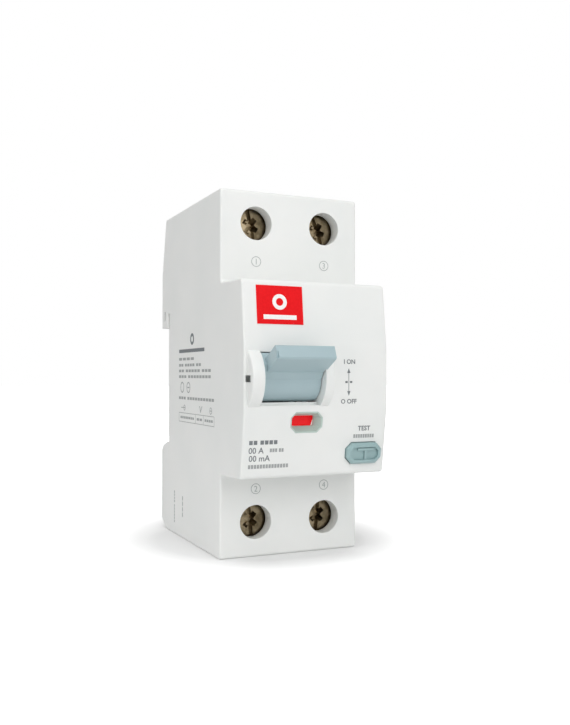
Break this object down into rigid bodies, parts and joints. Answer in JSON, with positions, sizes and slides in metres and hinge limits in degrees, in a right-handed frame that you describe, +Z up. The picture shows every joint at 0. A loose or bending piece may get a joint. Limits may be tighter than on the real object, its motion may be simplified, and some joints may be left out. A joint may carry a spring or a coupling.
{
  "type": "residual current device",
  "caption": "Rail-mounted residual current device with a toggle handle, test button, contact flag, cage clamp terminals and full inner mechanism.",
  "frame": {"origin": "centre of the flat that rests on the mounting rail", "axes": "+Z up the face of the device, +Y out of its back towards the rail, +X to the right seen from the front"},
  "size_m": [0.036, 0.0705, 0.0865],
  "materials": {
    "housing_plastic": "moulded light grey thermoplastic, fine satin",
    "label_film": "printed red film",
    "handle_plastic": "moulded blue-grey thermoplastic, satin",
    "bezel_plastic": "moulded grey thermoplastic",
    "flag_plastic": "moulded red thermoplastic",
    "clip_plastic": "moulded grey thermoplastic",
    "mechanism_plastic": "moulded dark thermoplastic",
    "relay_plastic": "moulded black thermoplastic",
    "core_metal": "nanocrystalline strip",
    "enamelled_copper": "enamelled wire",
    "copper": "rolled copper",
    "silver": "silver contact alloy",
    "brass": "rolled brass",
    "resistor_body": "lacquered ceramic",
    "bronzed_steel": "dark yellow-passivated steel",
    "zinc_steel": "zinc plated steel",
    "steel": "drawn steel"
  },
  "bodies": {
    "housing": {"housing_base": "housing_plastic", "front_cover": "housing_plastic", "cover_screws": "steel", "front_label": "label_film", "handle_pin": "steel", "handle_spring": "steel", "carrier_shaft": "steel", "opening_spring": "steel", "line_strip_left": "copper", "line_strip_right": "copper", "load_strip_left": "copper", "load_strip_right": "copper", "fixed_contact_tips": "silver", "pole_divider": "mechanism_plastic", "primary_conductor_left": "copper", "primary_conductor_right": "copper", "contact_braid_left": "copper", "contact_braid_right": "copper", "transformer_core": "core_metal", "core_case": "mechanism_plastic", "core_lid": "mechanism_plastic", "secondary_winding": "enamelled_copper", "secondary_leads": "enamelled_copper", "trip_relay": "relay_plastic", "trip_pin": "steel", "test_button_spring": "steel", "test_contact": "brass", "test_bracket": "mechanism_plastic", "test_resistor": "resistor_body", "indicator_bezel": "bezel_plastic", "clip_spring": "steel"},
    "handle": {"handle": "handle_plastic", "handle_crank_pin": "steel"},
    "drive_link": {"drive_link": "steel"},
    "contact_carrier": {"contact_carrier": "mechanism_plastic", "carrier_crank_pin": "steel", "contact_arm_left": "copper", "contact_arm_right": "copper", "contact_spring_left": "steel", "contact_spring_right": "steel", "moving_contact_tips": "silver"},
    "indicator_flag": {"indicator_flag": "flag_plastic"},
    "test_button": {"test_button": "handle_plastic"},
    "trip_lever": {"trip_lever": "mechanism_plastic"},
    "relay_plunger": {"relay_plunger": "steel"},
    "din_clip": {"din_clip": "clip_plastic"},
    "terminal_screw_1": {"terminal_screw_1": "bronzed_steel"},
    "terminal_cage_1": {"terminal_cage_1": "zinc_steel"},
    "terminal_screw_2": {"terminal_screw_2": "bronzed_steel"},
    "terminal_cage_2": {"terminal_cage_2": "zinc_steel"},
    "terminal_screw_3": {"terminal_screw_3": "bronzed_steel"},
    "terminal_cage_3": {"terminal_cage_3": "zinc_steel"},
    "terminal_screw_4": {"terminal_screw_4": "bronzed_steel"},
    "terminal_cage_4": {"terminal_cage_4": "zinc_steel"}
  },
  "joints": [
    {"name": "handle_toggle", "type": "hinge", "parent": "housing", "child": "handle", "pos_m": [0, -0.0519, 0], "axis": [1, 0, 0], "range_deg": [0, 60]},
    {"name": "drive_link_pivot", "type": "hinge", "parent": "handle", "child": "drive_link", "pos_m": [0, -0.05093, -0.00551], "axis": [1, 0, 0], "range_deg": [-66, 0]},
    {"name": "carrier_turn", "type": "hinge", "parent": "housing", "child": "contact_carrier", "pos_m": [0, -0.02, 0.003], "axis": [1, 0, 0], "range_deg": [0, 30]},
    {"name": "flag_swing", "type": "hinge", "parent": "housing", "child": "indicator_flag", "pos_m": [-0.00275, -0.0518, -0.01775], "axis": [0, 1, 0], "range_deg": [-41, 0]},
    {"name": "test_button_press", "type": "slide", "parent": "housing", "child": "test_button", "axis": [0, 0.9915, 0.1304], "range_m": [0, 0.0014], "stiffness_N_per_m": 400, "springref_m": -0.001, "deforming": ["test_button_spring"]},
    {"name": "trip_lever_pivot", "type": "hinge", "parent": "housing", "child": "trip_lever", "pos_m": [0.0032, -0.029, 0.005], "axis": [1, 0, 0], "range_deg": [-15, 0]},
    {"name": "relay_plunger_slide", "type": "slide", "parent": "housing", "child": "relay_plunger", "axis": [0, 0, 1], "range_m": [0, 0.0012], "stiffness_N_per_m": 50, "springref_m": -0.001},
    {"name": "din_clip_slide", "type": "slide", "parent": "housing", "child": "din_clip", "axis": [0, 0, -1], "range_m": [0, 0.0035], "stiffness_N_per_m": 1500, "springref_m": -0.002, "deforming": ["clip_spring"]},
    {"name": "terminal_screw_1_turn", "type": "hinge", "parent": "housing", "child": "terminal_screw_1", "pos_m": [-0.009, -0.03, 0.0368], "axis": [0, 1, 0], "range_deg": [0, 2925]},
    {"name": "terminal_cage_1_lift", "type": "slide", "parent": "housing", "child": "terminal_cage_1", "axis": [0, -1, 0], "range_m": [0, 0.0065]},
    {"name": "terminal_screw_2_turn", "type": "hinge", "parent": "housing", "child": "terminal_screw_2", "pos_m": [-0.009, -0.03, -0.0338], "axis": [0, 1, 0], "range_deg": [0, 2925]},
    {"name": "terminal_cage_2_lift", "type": "slide", "parent": "housing", "child": "terminal_cage_2", "axis": [0, -1, 0], "range_m": [0, 0.0065]},
    {"name": "terminal_screw_3_turn", "type": "hinge", "parent": "housing", "child": "terminal_screw_3", "pos_m": [0.009, -0.03, 0.0368], "axis": [0, 1, 0], "range_deg": [0, 2925]},
    {"name": "terminal_cage_3_lift", "type": "slide", "parent": "housing", "child": "terminal_cage_3", "axis": [0, -1, 0], "range_m": [0, 0.0065]},
    {"name": "terminal_screw_4_turn", "type": "hinge", "parent": "housing", "child": "terminal_screw_4", "pos_m": [0.009, -0.03, -0.0338], "axis": [0, 1, 0], "range_deg": [0, 2925]},
    {"name": "terminal_cage_4_lift", "type": "slide", "parent": "housing", "child": "terminal_cage_4", "axis": [0, -1, 0], "range_m": [0, 0.0065]}
  ],
  "couplings": [
    {"joint": "drive_link_pivot", "follows": "handle_toggle", "ratio": -1.096},
    {"joint": "carrier_turn", "follows": "handle_toggle", "ratio": 0.5},
    {"joint": "flag_swing", "follows": "handle_toggle", "ratio": -0.68332},
    {"joint": "trip_lever_pivot", "follows": "relay_plunger_slide", "rad_per_m": -218.17},
    {"joint": "terminal_screw_1_turn", "follows": "terminal_cage_1_lift", "rad_per_m": 7854},
    {"joint": "terminal_screw_2_turn", "follows": "terminal_cage_2_lift", "rad_per_m": 7854},
    {"joint": "terminal_screw_3_turn", "follows": "terminal_cage_3_lift", "rad_per_m": 7854},
    {"joint": "terminal_screw_4_turn", "follows": "terminal_cage_4_lift", "rad_per_m": 7854}
  ]
}
